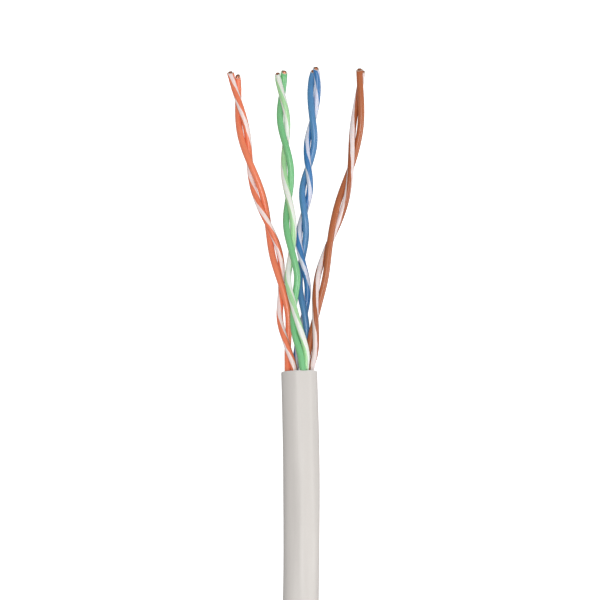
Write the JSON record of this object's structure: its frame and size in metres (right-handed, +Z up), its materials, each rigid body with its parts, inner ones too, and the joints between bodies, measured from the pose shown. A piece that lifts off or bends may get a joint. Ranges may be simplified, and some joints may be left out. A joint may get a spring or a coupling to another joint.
{
  "type": "stripped twisted-pair network cable",
  "caption": "Unshielded four-pair network cable, jacket stripped back and its twisted pairs fanned out, with the rest of its length in a strapped coil.",
  "frame": {"origin": "centre of the jacket's cut mouth, on the cable's axis", "axes": "+Y out of the mouth towards the wire tips, +Z up from the surface the cable lies on, +X to the right seen from the coil"},
  "size_m": [0.0861, 0.1586, 0.0117],
  "materials": {
    "jacket": "satin soft PVC",
    "copper": "bright drawn copper",
    "strap": "woven hook-and-loop strap",
    "orange_insulation": "smooth extruded polyethylene",
    "white_orange_insulation": "smooth extruded polyethylene",
    "green_insulation": "smooth extruded polyethylene",
    "white_green_insulation": "smooth extruded polyethylene",
    "blue_insulation": "smooth extruded polyethylene",
    "white_blue_insulation": "smooth extruded polyethylene",
    "brown_insulation": "smooth extruded polyethylene",
    "white_brown_insulation": "smooth extruded polyethylene"
  },
  "bodies": {
    "cable": {"jacket": "jacket", "cable_coil": "jacket", "coil_strap": "strap", "orange_inner_insulation": "orange_insulation", "orange_inner_conductor": "copper", "white_orange_inner_insulation": "white_orange_insulation", "white_orange_inner_conductor": "copper", "green_inner_insulation": "green_insulation", "green_inner_conductor": "copper", "white_green_inner_insulation": "white_green_insulation", "white_green_inner_conductor": "copper", "blue_insulation": "blue_insulation", "blue_conductor": "copper", "white_blue_insulation": "white_blue_insulation", "white_blue_conductor": "copper", "brown_inner_insulation": "brown_insulation", "brown_inner_conductor": "copper", "white_brown_inner_insulation": "white_brown_insulation", "white_brown_inner_conductor": "copper"},
    "orange_pair": {"orange_insulation": "orange_insulation", "orange_conductor": "copper", "white_orange_insulation": "white_orange_insulation", "white_orange_conductor": "copper"},
    "green_pair": {"green_insulation": "green_insulation", "green_conductor": "copper", "white_green_insulation": "white_green_insulation", "white_green_conductor": "copper"},
    "brown_pair": {"brown_insulation": "brown_insulation", "brown_conductor": "copper", "white_brown_insulation": "white_brown_insulation", "white_brown_conductor": "copper"}
  },
  "joints": [
    {"name": "orange_pair_bend", "type": "hinge", "parent": "cable", "child": "orange_pair", "pos_m": [-0.00236, 0, 0], "axis": [0, 0, 1], "range_deg": [0, 60]},
    {"name": "green_pair_bend", "type": "hinge", "parent": "cable", "child": "green_pair", "pos_m": [0, 0, 0.00236], "axis": [1, 0, 0], "range_deg": [0, 75]},
    {"name": "brown_pair_bend", "type": "hinge", "parent": "cable", "child": "brown_pair", "pos_m": [0.00236, 0, 0], "axis": [0, 0, -1], "range_deg": [0, 60]}
  ]
}
